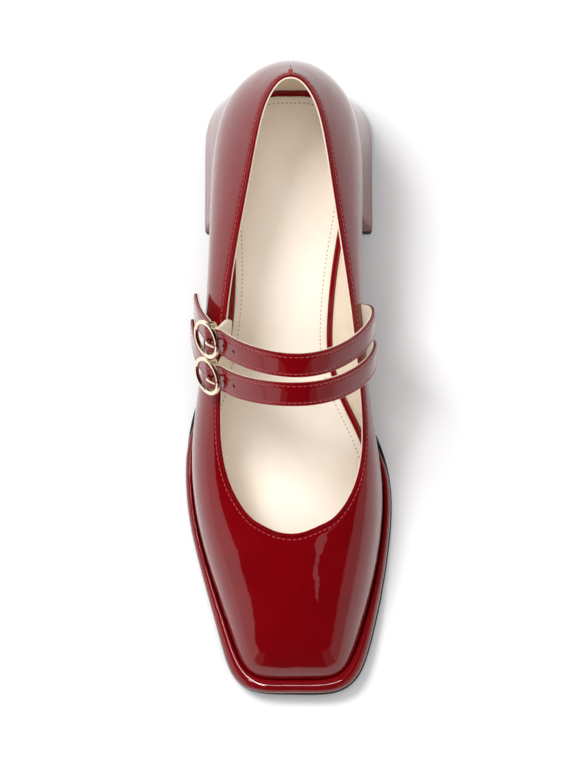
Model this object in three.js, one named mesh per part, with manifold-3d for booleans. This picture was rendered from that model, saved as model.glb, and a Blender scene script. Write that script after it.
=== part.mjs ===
// A right mary jane shoe with a square toe, a 40 mm block heel and two buckled instep straps.
// Millimetres, +Z up. The toe points along -Y, the outer (lateral) side is -X, the inner (medial) side +X.
// The shoe is drawn by station: s is the distance from the back of the heel seat towards the toe.
import * as THREE from 'three';
import Module from 'manifold-3d';
import { ParametricGeometry } from 'three/addons/geometries/ParametricGeometry.js';
import { mergeVertices } from 'three/addons/utils/BufferGeometryUtils.js';

const wasm = await Module();
wasm.setup();

// ---- driving dimensions ------------------------------------------------------------------------

const gap = 0.3; // between pieces that meet
const wall = 1.8; // patent leather and lining together
const kneeLow = 0.72; // share of the way from foot to knee where a wall section starts to bend
const kneeHigh = 0.62; // share of the way from topline to knee
const insoleThickness = 2.6;
const insoleInset = 0.9;
const randHeight = 4.3;
const randWidth = { side: 2.9, toe: 4.2, toeStart: 185, toeEnd: 243 };
const randEnds = { outer: 128, inner: 137, taper: 0.035, thin: 0.35 };
const outsoleEnd = 54.5; // station where the outsole meets the heel breast
const waist = { inset: 0.9, from: 94, to: 138 }; // there the outsole's edge is inside the upper's foot
const liftThickness = 5.8;
const breast = { depth: 3.6, land: 0.06, roundness: 1.4 }; // hollow front of the heel between flat lands
const strapWidth = 10;
const strapThickness = 1.9;
const strapLean = THREE.MathUtils.degToRad(38); // of the straps' width towards the toe
const dome = { rise: 3.2, reach: 6.6 }; // the strap is pushed up over the buckle's bar
const ring = { long: 9.2, short: 7.7, wire: 0.9, lift: 3.8, tilt: THREE.MathUtils.degToRad(7) };
const bar = { radius: 0.8, drop: 3.8, reach: 5.4, shoulder: 6.2, shoulderDrop: 2.8 };
const prong = { radius: 0.6, hole: 1.3, at: 1.9, bend: 4.4 };
const tab = { width: 8.4, thickness: 1.5, eye: 1.9, slot: 2.6, clearance: 2.5 };

// ---- tables ------------------------------------------------------------------------------------

// Rows of values as objects with the columns' names.
function table(columns, rows) {
  return rows.map((row) => Object.fromEntries(columns.map((column, i) => [column, row[i]])));
}

// The sole in side view: heights of the tread and of the sole's top, at even steps of station.
const soleStep = 16;
const soleStart = -32;
const soleLine = table(['tread', 'top'], [
  [45.0, 48.5], [42.1, 45.6], [39.2, 42.7], [36.3, 39.8], [33.4, 36.9],
  [30.4, 33.9], [26.2, 29.9], [21.5, 25.2], [15.3, 19.2], [8.0, 12.4],
  [2.4, 6.4], [-0.9, 2.6], [-0.9, 2.3], [-0.6, 3.0], [0.7, 4.1],
  [2.3, 5.6], [4.0, 7.2], [6.0, 9.1], [8.6, 11.2], [11.5, 13.5],
]);

// The last, one row for each section around the shoe: where the wall stands on the sole (foot), the
// point that its curve bends towards (knee), and the topline (top).
const lastRows = table(
  ['name', 'footX', 'footS', 'kneeX', 'kneeS', 'kneeZ', 'topX', 'topS', 'topZ'],
  [
    ['toe',             2.0, 242.2,   1.5, 239.5,  30.8,   0.5, 186.7,  42.0],
    ['toe outer',      -9.0, 242.6,  -7.5, 239.5,  29.8,  -3.5, 186.3,  41.4],
    ['corner outer',  -18.0, 240.8, -15.5, 236.5,  28.2,  -7.5, 185.0,  40.4],
    ['vamp outer 4',  -22.2, 232.0, -20.5, 229.0,  28.0, -11.5, 182.7,  39.4],
    ['vamp outer 3',  -26.2, 218.0, -26.0, 217.0,  28.6, -15.5, 180.4,  38.2],
    ['vamp outer 2',  -32.4, 199.0, -33.0, 199.0,  29.2, -20.0, 174.8,  37.2],
    ['vamp outer 1',  -37.8, 179.0, -39.5, 180.0,  29.2, -25.0, 165.5,  36.6],
    ['ball outer',    -40.2, 158.0, -43.0, 160.0,  30.0, -28.2, 152.0,  39.2],
    ['waist outer 4', -38.4, 137.0, -43.0, 139.0,  32.0, -28.6, 136.0,  44.4],
    ['waist outer 3', -32.0, 116.0, -41.5, 118.0,  38.0, -27.6, 118.0,  51.2],
    ['waist outer 2', -28.0,  95.0, -41.0,  96.0,  45.0, -25.6,  98.0,  59.6],
    ['waist outer 1', -26.2,  74.0, -41.0,  75.0,  50.0, -22.2,  77.0,  69.4],
    ['heel outer 4',  -26.8,  53.0, -40.5,  54.0,  55.0, -18.0,  58.0,  79.6],
    ['heel outer 3',  -27.8,  32.0, -38.5,  32.0,  59.0, -14.6,  41.0,  89.4],
    ['heel outer 2',  -24.0,  13.0, -33.0,  10.0,  63.0, -11.4,  26.5,  98.2],
    ['heel outer 1',  -12.5,   0.8, -15.5,  -3.4,  66.0,  -5.6,  17.6, 103.2],
    ['heel back',       0.0,  -2.0,   0.0,  -6.8,  67.0,   0.0,  16.0, 104.2],
    ['heel inner 1',   12.5,   0.8,  15.0,  -3.4,  66.0,   5.6,  17.6, 103.2],
    ['heel inner 2',   23.2,  13.0,  30.5,  10.0,  63.0,  11.6,  26.5,  98.2],
    ['heel inner 3',   26.2,  32.0,  35.3,  32.0,  59.0,  14.8,  41.0,  89.6],
    ['heel inner 4',   23.3,  53.0,  37.0,  54.0,  55.0,  17.6,  58.0,  80.4],
    ['waist inner 1',  18.5,  74.0,  37.0,  75.0,  50.0,  21.0,  77.0,  70.8],
    ['waist inner 2',  16.2,  95.0,  36.3,  97.0,  45.0,  24.6,  98.0,  61.4],
    ['waist inner 3',  16.3, 116.0,  36.0, 119.0,  39.0,  27.2, 118.0,  53.0],
    ['waist inner 4',  30.3, 137.0,  37.0, 140.0,  33.0,  29.2, 136.0,  46.0],
    ['ball inner',     37.9, 157.0,  38.5, 161.0,  30.5,  29.6, 152.0,  41.4],
    ['vamp inner 1',   37.8, 178.0,  38.0, 181.0,  29.4,  26.6, 166.0,  39.4],
    ['vamp inner 2',   34.6, 200.0,  34.0, 201.0,  29.2,  21.5, 175.5,  39.4],
    ['vamp inner 3',   30.0, 218.5,  28.5, 218.0,  28.6,  16.5, 181.0,  40.0],
    ['vamp inner 4',   26.0, 232.5,  23.5, 229.5,  28.2,  12.0, 182.9,  40.8],
    ['corner inner',   21.5, 241.0,  18.5, 236.5,  28.6,   8.0, 185.0,  41.4],
    ['toe inner',      12.5, 242.6,  10.5, 239.5,  30.2,   4.0, 186.3,  41.8],
  ],
);

// The heel block in plan, at the seat under the upper and at the top lift.
const heelPlan = {
  seat: { front: 53.6, back: -2.9, outer: -29.2, inner: 27.2, squareness: 2.3, straightFrom: 30 },
  ground: { front: 55.6, back: -6.4, outer: -35.4, inner: 33.9, squareness: 2.9, straightFrom: 24 },
};

// Each strap, from its root on the inner side over the instep to its free end on the outer side. The
// buckle's bar is under row buckleAt, and its tab crosses the topline at station tabAt.
const strapRear = {
  buckleAt: 9,
  tabAt: 108,
  rows: table(['name', 'x', 's', 'z'], [
    ['root',             29.8, 101.5,  54.0],
    ['spring',           32.2, 103.0,  60.0],
    ['inner side',       32.6, 108.5,  68.0],
    ['inner shoulder',   28.0, 116.6,  77.4],
    ['inner arch',       18.5, 124.6,  87.0],
    ['arch',              7.4, 129.0,  93.4],
    ['outer arch',       -5.0, 128.6,  93.4],
    ['outer shoulder',  -17.0, 123.8,  85.4],
    ['above buckle',    -24.8, 118.0,  75.8],
    ['buckle',          -29.6, 112.6,  66.8],
    ['below buckle',    -34.2, 106.4,  57.8],
    ['outer side',      -36.9,  99.8,  49.0],
    ['free end',        -37.8,  93.6,  40.6],
  ]),
};
const strapFront = {
  buckleAt: 9,
  tabAt: 121,
  rows: table(['name', 'x', 's', 'z'], [
    ['root',             31.6, 114.6,  47.6],
    ['spring',           33.2, 115.6,  53.6],
    ['inner side',       33.2, 119.8,  61.4],
    ['inner shoulder',   30.0, 126.8,  70.6],
    ['inner arch',       20.6, 134.4,  79.8],
    ['arch',              9.4, 138.6,  86.4],
    ['outer arch',       -3.4, 138.8,  86.4],
    ['outer shoulder',  -15.6, 135.6,  77.6],
    ['above buckle',    -24.4, 130.6,  66.6],
    ['buckle',          -29.4, 125.4,  56.6],
    ['below buckle',    -35.0, 118.4,  47.4],
    ['outer side',      -38.2, 110.2,  38.4],
    ['free end',        -39.4, 101.4,  29.8],
  ]),
};

// ---- curves ------------------------------------------------------------------------------------

const point = (x, s, z) => new THREE.Vector3(x, -s, z);

// Cubic B-spline weights of four neighbouring rows, u from 0 to 1 between the middle two.
function splineWeights(u) {
  return [(1 - u) ** 3, 3 * u ** 3 - 6 * u ** 2 + 4, -3 * u ** 3 + 3 * u ** 2 + 3 * u + 1, u ** 3]
    .map((weight) => weight / 6);
}

function mixRows(rows, keys, first, u) {
  const weights = splineWeights(u);
  const mixed = {};
  for (const key of keys) {
    mixed[key] = weights.reduce((sum, weight, k) => sum + weight * rows(first + k)[key], 0);
  }
  return mixed;
}

// Heights of the sole at a station.
function soleAt(s) {
  const place = (s - soleStart) / soleStep;
  const row = THREE.MathUtils.clamp(Math.floor(place), 1, soleLine.length - 3);
  return mixRows((i) => soleLine[i], ['tread', 'top'], row - 1, place - row);
}

// One section of the last, turn from 0 to 1 around the shoe: toe, outer side, heel, inner side, toe.
const lastKeys = ['footX', 'footS', 'kneeX', 'kneeS', 'kneeZ', 'topX', 'topS', 'topZ'];
function lastSection(turn) {
  const count = lastRows.length;
  const place = THREE.MathUtils.euclideanModulo(turn, 1) * count;
  const row = Math.floor(place);
  return mixRows((i) => lastRows[(i + count) % count], lastKeys, row - 1, place - row);
}

// The outside of the upper, rise from 0 at the sole to 1 at the topline.
function outerSkin(turn, rise) {
  const section = lastSection(turn);
  const foot = point(section.footX, section.footS, soleAt(section.footS).top + gap);
  const knee = point(section.kneeX, section.kneeS, section.kneeZ);
  const top = point(section.topX, section.topS, section.topZ);
  const low = foot.clone().lerp(knee, kneeLow);
  const high = top.clone().lerp(knee, kneeHigh);
  return new THREE.CubicBezierCurve3(foot, low, high, top).getPoint(rise);
}

// A point under the skin, level with it at the sole so that the wall's foot stands flat.
function wallPoint(turn, rise, depth) {
  const step = 1e-3;
  const along = outerSkin(turn + step, rise).sub(outerSkin(turn - step, rise));
  const up = outerSkin(turn, Math.min(1, rise + step)).sub(outerSkin(turn, Math.max(0, rise - step)));
  const inward = along.cross(up).normalize();
  inward.z *= THREE.MathUtils.smoothstep(rise, 0, 0.25);
  return outerSkin(turn, rise).addScaledVector(inward.normalize(), depth);
}

// The rise at which the skin stands a given height above the sole.
function riseAtHeight(turn, height) {
  const foot = outerSkin(turn, 0).z;
  let low = 0;
  let high = 0.5;
  for (let i = 0; i < 20; i += 1) {
    const middle = (low + high) / 2;
    if (outerSkin(turn, middle).z - foot < height) low = middle;
    else high = middle;
  }
  return low;
}

// ---- closed bodies -----------------------------------------------------------------------------

// Merges the seams of a skin, drops triangles of no area and turns the faces outwards.
function closedBody(geometry) {
  geometry.deleteAttribute('uv');
  geometry.deleteAttribute('normal');
  const merged = mergeVertices(geometry, 1e-4);
  const index = merged.index.array;
  const position = merged.attributes.position;
  const corners = [0, 1, 2].map(() => new THREE.Vector3());
  const kept = [];
  let volume = 0;
  for (let i = 0; i < index.length; i += 3) {
    const [a, b, c] = [index[i], index[i + 1], index[i + 2]];
    if (a === b || b === c || c === a) continue;
    corners.forEach((corner, k) => corner.fromBufferAttribute(position, index[i + k]));
    volume += corners[0].dot(corners[1].clone().cross(corners[2]));
    kept.push([a, b, c]);
  }
  merged.setIndex(kept.flatMap(([a, b, c]) => (volume > 0 ? [a, b, c] : [a, c, b])));
  merged.computeVertexNormals();
  return merged;
}

// A body whose skin runs through rings, each a closed list of the same number of points.
function throughRings(rings) {
  const last = rings.length - 1;
  const around = rings[0].length;
  return closedBody(new ParametricGeometry((u, v, target) => {
    target.copy(rings[Math.round(v * last)][Math.round(u * around) % around]);
  }, around, last));
}

// Closes the two ends of a run of rings, each with a ring shrunk to its middle.
function withEnds(rings) {
  const shrunk = (ring) => {
    const middle = new THREE.Vector3();
    for (const corner of ring) middle.addScaledVector(corner, 1 / ring.length);
    return ring.map(() => middle);
  };
  return [shrunk(rings[0]), ...rings, shrunk(rings.at(-1))];
}

// A closed ring of points, one for each turn around the shoe.
function turnRing(around, place) {
  return Array.from({ length: around }, (_, i) => place(i / around));
}

function toManifold(geometry) {
  return new wasm.Manifold(new wasm.Mesh({
    numProp: 3,
    vertProperties: new Float32Array(geometry.attributes.position.array),
    triVerts: new Uint32Array(geometry.index.array),
  }));
}

function fromManifold(solid) {
  const mesh = solid.getMesh();
  const geometry = new THREE.BufferGeometry();
  geometry.setAttribute('position', new THREE.BufferAttribute(mesh.vertProperties, 3));
  geometry.setIndex(new THREE.BufferAttribute(mesh.triVerts, 1));
  geometry.computeVertexNormals();
  return geometry;
}

// ---- sub-parts ---------------------------------------------------------------------------------

function upperBody() {
  const around = 96;
  const levels = 8;
  const rises = Array.from({ length: levels + 1 }, (_, i) => i / levels);
  const outside = rises.map((rise) => turnRing(around, (turn) => outerSkin(turn, rise)));
  const inside = rises.map((rise) => turnRing(around, (turn) => wallPoint(turn, rise, wall)));
  return throughRings([...outside, ...inside.toReversed(), outside[0]]);
}

function insoleBody() {
  const around = 64;
  const centre = point(0, 118, 0);
  const shares = [0, 0.2, 0.4, 0.6, 0.8, 0.93, 1];
  const ringAt = (share, height) => turnRing(around, (turn) => {
    const rim = wallPoint(turn, riseAtHeight(turn, height), wall + insoleInset);
    const place = centre.clone().lerp(rim, share);
    place.z = soleAt(-place.y).top + 2 * gap + height;
    return place;
  });
  const bottom = shares.map((share) => ringAt(share, 0));
  const top = shares.map((share) => ringAt(share, insoleThickness));
  return throughRings([...bottom, ...top.toReversed()]);
}

// How far the sole's edge stands outside the foot of the upper; less than nothing at the waist.
function soleMargin(s) {
  const { side, toe, toeStart, toeEnd } = randWidth;
  const forefoot = THREE.MathUtils.lerp(side, toe, THREE.MathUtils.smoothstep(s, toeStart, toeEnd)) + gap;
  return THREE.MathUtils.lerp(-waist.inset, forefoot, THREE.MathUtils.smoothstep(s, waist.from, waist.to));
}

function soleEdge(turn) {
  const foot = outerSkin(turn, 0);
  const rim = wallPoint(turn, 0, -1).sub(foot);
  return foot.addScaledVector(rim, soleMargin(-foot.y));
}

function soleOutline() {
  const count = 128;
  const behindBreast = 20;
  const outline = [];
  for (let i = 0; i < count; i += 1) {
    const edge = soleEdge(i / count);
    if (-edge.y > outsoleEnd - behindBreast) outline.push(new THREE.Vector2(edge.x, edge.y));
  }
  return new THREE.Shape(outline);
}

function soleProfile() {
  const step = 4;
  const pastToe = 262;
  const stations = [];
  for (let s = outsoleEnd; s < pastToe; s += step) stations.push(s);
  const tread = stations.map((s) => new THREE.Vector2(-s, Math.max(0, soleAt(s).tread)));
  const top = stations.map((s) => new THREE.Vector2(-s, soleAt(s).top));
  return new THREE.Shape([...tread, ...top.toReversed()]);
}

// The outsole is its plan outline cut to its side profile.
function outsoleBody() {
  const height = 60;
  const breadth = 120;
  const plan = new THREE.ExtrudeGeometry(soleOutline(), { depth: height, bevelEnabled: false });
  plan.translate(0, 0, -height / 4);
  const profile = new THREE.ExtrudeGeometry(soleProfile(), { depth: breadth, bevelEnabled: false });
  profile.translate(0, 0, -breadth / 2);
  profile.applyMatrix4(new THREE.Matrix4().set(0, 0, 1, 0, 1, 0, 0, 0, 0, 1, 0, 0, 0, 0, 0, 1));
  return fromManifold(toManifold(closedBody(plan)).intersect(toManifold(closedBody(profile))));
}

// The turn at which a column of the last passes a station, searched from the toe towards the heel.
function turnAtStation(column, station, side) {
  const towards = side === 'outer' ? 1 : -1;
  let toeward = 0.02 * towards;
  let heelward = 0.48 * towards;
  for (let i = 0; i < 30; i += 1) {
    const middle = (toeward + heelward) / 2;
    if (lastSection(middle)[column] > station) toeward = middle;
    else heelward = middle;
  }
  return toeward;
}

// The rand is a rounded strip on the outsole's edge, around the forefoot, thinning out at its ends.
function randBody() {
  const count = 64;
  const section = [[0, 0], [0, 1], [0.4, 1], [0.8, 0.82], [1, 0.42], [1, 0]];
  const start = turnAtStation('footS', randEnds.inner, 'inner');
  const end = turnAtStation('footS', randEnds.outer, 'outer');
  const ringAt = (share) => {
    const turn = THREE.MathUtils.lerp(start, end, share);
    const foot = outerSkin(turn, 0);
    const outward = wallPoint(turn, 0, -1).sub(foot);
    const nearestEnd = Math.min(Math.abs(turn - start), Math.abs(turn - end));
    const grown = THREE.MathUtils.smoothstep(nearestEnd, 0, randEnds.taper);
    const full = THREE.MathUtils.lerp(randEnds.thin, 1, grown);
    const width = (soleMargin(-foot.y) - gap) * full;
    return section.map(([across, up]) => {
      const height = randHeight * full * up;
      const place = wallPoint(turn, riseAtHeight(turn, height), -gap);
      place.addScaledVector(outward, width * across);
      place.z = soleAt(-place.y).top + gap + height;
      return place;
    });
  };
  return throughRings(withEnds(Array.from({ length: count + 1 }, (_, i) => ringAt(i / count))));
}

// The heel block's outline: the hollow breast from the outer to the inner corner, then the sides and
// back. Level is 0 at the top lift and 1 at the seat.
function heelRing(level, heightAt) {
  const plan = {};
  for (const key of Object.keys(heelPlan.seat)) {
    plan[key] = THREE.MathUtils.lerp(heelPlan.ground[key], heelPlan.seat[key], level);
  }
  const middle = (plan.outer + plan.inner) / 2;
  const half = (plan.inner - plan.outer) / 2;
  const outline = [];
  const breastSteps = 14;
  for (let i = 0; i < breastSteps; i += 1) {
    const share = i / breastSteps;
    const inHollow = THREE.MathUtils.clamp((share - breast.land) / (1 - 2 * breast.land), 0, 1);
    const hollow = breast.depth * Math.sin(Math.PI * inHollow) ** breast.roundness;
    outline.push([THREE.MathUtils.lerp(plan.outer, plan.inner, share), plan.front - hollow]);
  }
  outline.push([plan.inner, plan.front]);
  const backSteps = 32;
  const bend = 2 / plan.squareness;
  for (let i = 0; i <= backSteps; i += 1) {
    const angle = (Math.PI * i) / backSteps;
    const across = Math.sign(Math.cos(angle)) * Math.abs(Math.cos(angle)) ** bend;
    const back = Math.abs(Math.sin(angle)) ** bend;
    outline.push([middle + half * across, THREE.MathUtils.lerp(plan.straightFrom, plan.back, back)]);
  }
  return outline.map(([x, s]) => point(x, s, heightAt(s)));
}

function heelBlockBody() {
  const low = liftThickness + gap;
  const levels = [0, 0.25, 0.5, 0.75, 1];
  return throughRings(withEnds(levels.map((level) =>
    heelRing(level, (s) => THREE.MathUtils.lerp(low, soleAt(s).top, level)))));
}

function topLiftBody() {
  return throughRings(withEnds([0, liftThickness].map((height) => heelRing(0, () => height))));
}

// A strap's middle line, place counted in rows, with its directions: along it, across it and out.
function strapFrame(strap, place) {
  const { rows } = strap;
  const keys = ['x', 's', 'z'];
  const beyond = (near, far) =>
    Object.fromEntries(keys.map((key) => [key, 2 * near[key] - far[key]]));
  const rowAt = (i) => {
    if (i < 0) return beyond(rows[0], rows[1]);
    if (i >= rows.length) return beyond(rows.at(-1), rows.at(-2));
    return rows[i];
  };
  const middle = (at) => {
    const row = Math.min(Math.floor(at), rows.length - 2);
    const { x, s, z } = mixRows(rowAt, keys, row - 1, at - row);
    return point(x, s, z);
  };
  const step = 0.01;
  const before = middle(Math.max(0, place - step));
  const after = middle(Math.min(rows.length - 1, place + step));
  const along = after.sub(before).normalize();
  const across = point(0, Math.cos(strapLean), -Math.sin(strapLean));
  across.addScaledVector(along, -across.dot(along)).normalize();
  return { centre: middle(place), along, across, out: along.clone().cross(across) };
}

// The buckle's own frame: x along the strap to its free end, y across it, z outwards, tilted so that
// the ring's end towards the free end stands further out.
function buckleFrame(strap) {
  const { centre, along, across, out } = strapFrame(strap, strap.buckleAt);
  const frame = new THREE.Matrix4().makeBasis(along, across, out).setPosition(centre);
  frame.multiply(new THREE.Matrix4().makeRotationY(-ring.tilt));
  return frame.multiply(new THREE.Matrix4().makeTranslation(0, 0, ring.lift));
}

// Places along a strap, closer together where it rises over the bar.
function strapPlaces(strap) {
  const places = [0];
  for (let row = 0; row < strap.rows.length - 1; row += 1) {
    const steps = Math.abs(row + 0.5 - strap.buckleAt) < 1 ? 8 : 3;
    for (let i = 1; i <= steps; i += 1) places.push(row + i / steps);
  }
  return places;
}

function strapBody(strap) {
  const buckle = strapFrame(strap, strap.buckleAt).centre;
  const rings = [];
  for (const place of strapPlaces(strap)) {
    const { centre, across, out } = strapFrame(strap, place);
    const distance = Math.min(1, centre.distanceTo(buckle) / dome.reach);
    const raised = dome.rise * Math.cos((Math.PI / 2) * distance) ** 2;
    const corner = (w, n) => centre.clone()
      .addScaledVector(across, (w * strapWidth) / 2)
      .addScaledVector(out, raised + (n * strapThickness) / 2);
    rings.push([corner(-1, -1), corner(0, -1), corner(1, -1), corner(1, 1), corner(0, 1), corner(-1, 1)]);
  }
  const band = toManifold(throughRings(withEnds(rings)));
  const hole = new THREE.CylinderGeometry(prong.hole, prong.hole, 4 * strapThickness, 16);
  hole.rotateX(Math.PI / 2);
  hole.translate(-prong.at, 0, dome.rise - ring.lift - strapThickness / 4);
  hole.applyMatrix4(buckleFrame(strap));
  return fromManifold(band.subtract(toManifold(closedBody(hole))));
}

// A round rod along a smooth path.
function rod(points, radius, steps, sides) {
  const path = new THREE.CatmullRomCurve3(points.map((p) => new THREE.Vector3(...p)), false, 'centripetal');
  const section = new THREE.Shape().absarc(0, 0, radius, 0, 2 * Math.PI);
  return closedBody(new THREE.ExtrudeGeometry(section, {
    extrudePath: path, steps, curveSegments: sides / 2, bevelEnabled: false,
  }));
}

// An oval wire ring with a bar across it that is set in under the strap.
function buckleBody(strap) {
  const [long, short] = [ring.long - ring.wire, ring.short - ring.wire];
  const oval = closedBody(new ParametricGeometry((u, v, target) => {
    const around = 2 * Math.PI * (u % 1);
    const section = 2 * Math.PI * (v % 1);
    const out = ring.wire * Math.cos(section);
    const [x, y] = [(long + out) * Math.cos(around), (short + out) * Math.sin(around)];
    target.set(x, y, ring.wire * Math.sin(section));
  }, 28, 6));
  const side = [
    [short, 0], [bar.shoulder, -bar.shoulderDrop], [bar.reach, -bar.drop], [bar.reach / 2, -bar.drop],
  ];
  const crossbar = rod([
    ...side.map(([across, out]) => [0, -across, out]),
    ...side.toReversed().map(([across, out]) => [0, across, out]),
  ], bar.radius, 14, 8);
  const buckle = fromManifold(toManifold(oval).add(toManifold(crossbar)));
  return buckle.applyMatrix4(buckleFrame(strap));
}

// The prong hooks round the bar, comes up through the strap's hole and its tip rests over the ring.
function prongBody(strap) {
  const clear = bar.radius + prong.radius + gap;
  const rest = ring.wire + prong.radius + gap;
  const hook = [
    [clear, 0.3], [clear * 0.7, -clear * 0.75], [-clear * 0.2, -clear], [-clear, -0.2],
  ].map(([along, up]) => [along, 0, up - bar.drop]);
  const tip = [
    [-prong.at, -1.2], [-prong.at - 0.3, rest * 0.7],
    [-prong.bend, rest + 0.5], [0.2 - ring.long, rest + 0.1],
  ].map(([along, up]) => [along, 0, up]);
  return rod([...hook, ...tip], prong.radius, 20, 6).applyMatrix4(buckleFrame(strap));
}

// The holding tab: an eye round the bar, slotted for the prong, and a tail over the topline into
// the collar.
function tabBody(strap) {
  const frame = buckleFrame(strap);
  const barCentre = new THREE.Vector3(0, 0, -bar.drop);
  const turn = turnAtStation('topS', strap.tabAt, 'outer');
  const inside = (rise, extra) => wallPoint(turn, rise, wall + gap + tab.thickness / 2 + extra);
  const overEdge = wallPoint(turn, 1, wall);
  overEdge.add(new THREE.Vector3(0.2, 0, tab.thickness / 2 + tab.clearance));
  const tail = [
    barCentre.clone().applyMatrix4(frame).add(new THREE.Vector3(0.9, 0.4, -1.1)),
    overEdge, inside(0.97, 1.8), inside(0.88, 1.4), inside(0.78, 0.8),
  ];
  const path = new THREE.CatmullRomCurve3(tail, false, 'centripetal');
  const barAcross = new THREE.Vector3().setFromMatrixColumn(frame, 1);
  const edgeAcross = outerSkin(turn - 0.01, 1).sub(outerSkin(turn + 0.01, 1)).normalize();
  const count = 16;
  const rings = [];
  for (let i = 0; i <= count; i += 1) {
    const turned = THREE.MathUtils.smoothstep(i / count, 0.15, 0.6);
    const across = barAcross.clone().lerp(edgeAcross, turned).normalize();
    const out = path.getTangentAt(i / count).cross(across).normalize();
    const corner = (w, n) => path.getPointAt(i / count)
      .addScaledVector(across, (w * tab.width) / 2)
      .addScaledVector(out, (n * tab.thickness) / 2);
    rings.push([corner(-1, -1), corner(1, -1), corner(1, 1), corner(-1, 1)]);
  }
  const onBar = (geometry) => toManifold(closedBody(
    geometry.translate(...barCentre.toArray()).applyMatrix4(frame)));
  const roundBar = (radius, length) => onBar(new THREE.CylinderGeometry(radius, radius, length, 14));
  return fromManifold(toManifold(throughRings(withEnds(rings)))
    .add(roundBar(tab.eye, tab.width))
    .subtract(roundBar(bar.radius + gap, 2 * tab.width))
    .subtract(onBar(new THREE.BoxGeometry(3 * tab.eye, tab.slot, 3 * tab.eye))));
}

// ---- materials ---------------------------------------------------------------------------------

const patentLeather = () => new THREE.MeshStandardMaterial({ color: 0x84050f, roughness: 0.08 });
const liningLeather = () => new THREE.MeshStandardMaterial({ color: 0xead9bf, roughness: 0.7 });
const blackRubber = () => new THREE.MeshStandardMaterial({ color: 0x20211f, roughness: 0.6 });
const paleGold = () => new THREE.MeshStandardMaterial({ color: 0xe6cfa4, roughness: 0.2, metalness: 1 });

// ---- assembly ----------------------------------------------------------------------------------

const shoe = new THREE.Group();

function addPiece(name, geometry, material) {
  const piece = new THREE.Mesh(geometry, material);
  piece.name = name;
  shoe.add(piece);
}

addPiece('upper', upperBody(), patentLeather());
addPiece('insole', insoleBody(), liningLeather());
addPiece('outsole', outsoleBody(), blackRubber());
addPiece('rand', randBody(), patentLeather());
addPiece('heel_block', heelBlockBody(), patentLeather());
addPiece('top_lift', topLiftBody(), blackRubber());
for (const [side, strap] of [['rear', strapRear], ['front', strapFront]]) {
  addPiece(`strap_${side}`, strapBody(strap), patentLeather());
  addPiece(`buckle_${side}`, buckleBody(strap), paleGold());
  addPiece(`prong_${side}`, prongBody(strap), paleGold());
  addPiece(`buckle_tab_${side}`, tabBody(strap), liningLeather());
}

// The origin is the middle of the shoe's box, on the plane that it stands on.
const box = new THREE.Box3().setFromObject(shoe);
const middle = box.getCenter(new THREE.Vector3());
shoe.position.set(-middle.x, -middle.y, -box.min.z);

const group = new THREE.Group();
group.add(shoe);
export default group;
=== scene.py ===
import bpy
import numpy as np
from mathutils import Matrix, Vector


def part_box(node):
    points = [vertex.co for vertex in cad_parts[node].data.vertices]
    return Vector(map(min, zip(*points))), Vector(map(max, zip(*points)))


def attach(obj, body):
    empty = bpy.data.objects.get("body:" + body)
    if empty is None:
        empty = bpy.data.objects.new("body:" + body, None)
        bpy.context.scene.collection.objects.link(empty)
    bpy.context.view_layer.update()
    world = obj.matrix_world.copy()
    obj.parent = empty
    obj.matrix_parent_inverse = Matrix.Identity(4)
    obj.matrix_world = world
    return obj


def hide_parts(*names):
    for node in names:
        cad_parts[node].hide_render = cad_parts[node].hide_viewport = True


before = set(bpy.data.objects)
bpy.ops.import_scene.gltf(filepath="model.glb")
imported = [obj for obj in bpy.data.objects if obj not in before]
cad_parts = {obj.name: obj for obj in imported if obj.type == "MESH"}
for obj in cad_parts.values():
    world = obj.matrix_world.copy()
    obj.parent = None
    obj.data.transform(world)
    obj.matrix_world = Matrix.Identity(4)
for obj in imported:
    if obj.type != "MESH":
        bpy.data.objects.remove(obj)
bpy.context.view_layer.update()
lift_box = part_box("top_lift")

# ---- the shoe's dimensions, as in the CAD part ----

LIFT_INNER, LIFT_BACK = 33.9, -6.4
ORIGIN = np.array([lift_box[1].x * 1000 - LIFT_INNER, lift_box[1].y * 1000 + LIFT_BACK, 0.0])
GAP = 0.3  # between neighbouring solids
WALL = 1.8  # thickness of the upper's wall
SKIN = 1.1  # the patent leather's share of the wall; the lining has the rest
KNEE_LOW, KNEE_HIGH = 0.72, 0.62  # how far a section's controls lie towards its knee
INSOLE_RISE = 3.2  # the insole's top over the sole's top
# The rand: height, width at the side and the toe, stations of its ends, and their taper in turns.
RAND = {"height": 4.3, "side": 2.9, "toe": 4.2, "outer": 128, "inner": 137, "taper": 0.035}
WAIST = {"inset": 0.9, "from": 94, "to": 138}  # the sole's edge lies in up to here, and out past here
BREAST = 54.5  # station of the outsole's end at the heel
LIFT = 5.8  # thickness of the top lift
LIFT_SEAM = 0.1  # between the top lift and the heel's cover
SOLE_LIP = 0.5  # the outsole's edge stands this far outside the rand, on the inner side and at the toe
STRAP = {"width": 10, "lean": np.radians(38)}  # lean of the strap's width from the level
DOME = {"rise": 3.2, "reach": 6.6}  # the strap rises over the buckle's bar
RING = {"long": 9.2, "short": 7.7, "wire": 0.9, "lift": 3.8, "tilt": np.radians(7)}
BAR = {"radius": 0.8, "drop": 3.8, "reach": 5.4, "shoulder": 6.2, "shoulder_drop": 2.8}
PRONG_RADIUS = 0.6
HOLES = {"at": 2.3, "pitch": 7.6}  # the used hole, from the ring's middle, and the next ones

SOLE_FROM, SOLE_STEP = -32, 16  # stations of the rows of SOLE_LINE

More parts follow.
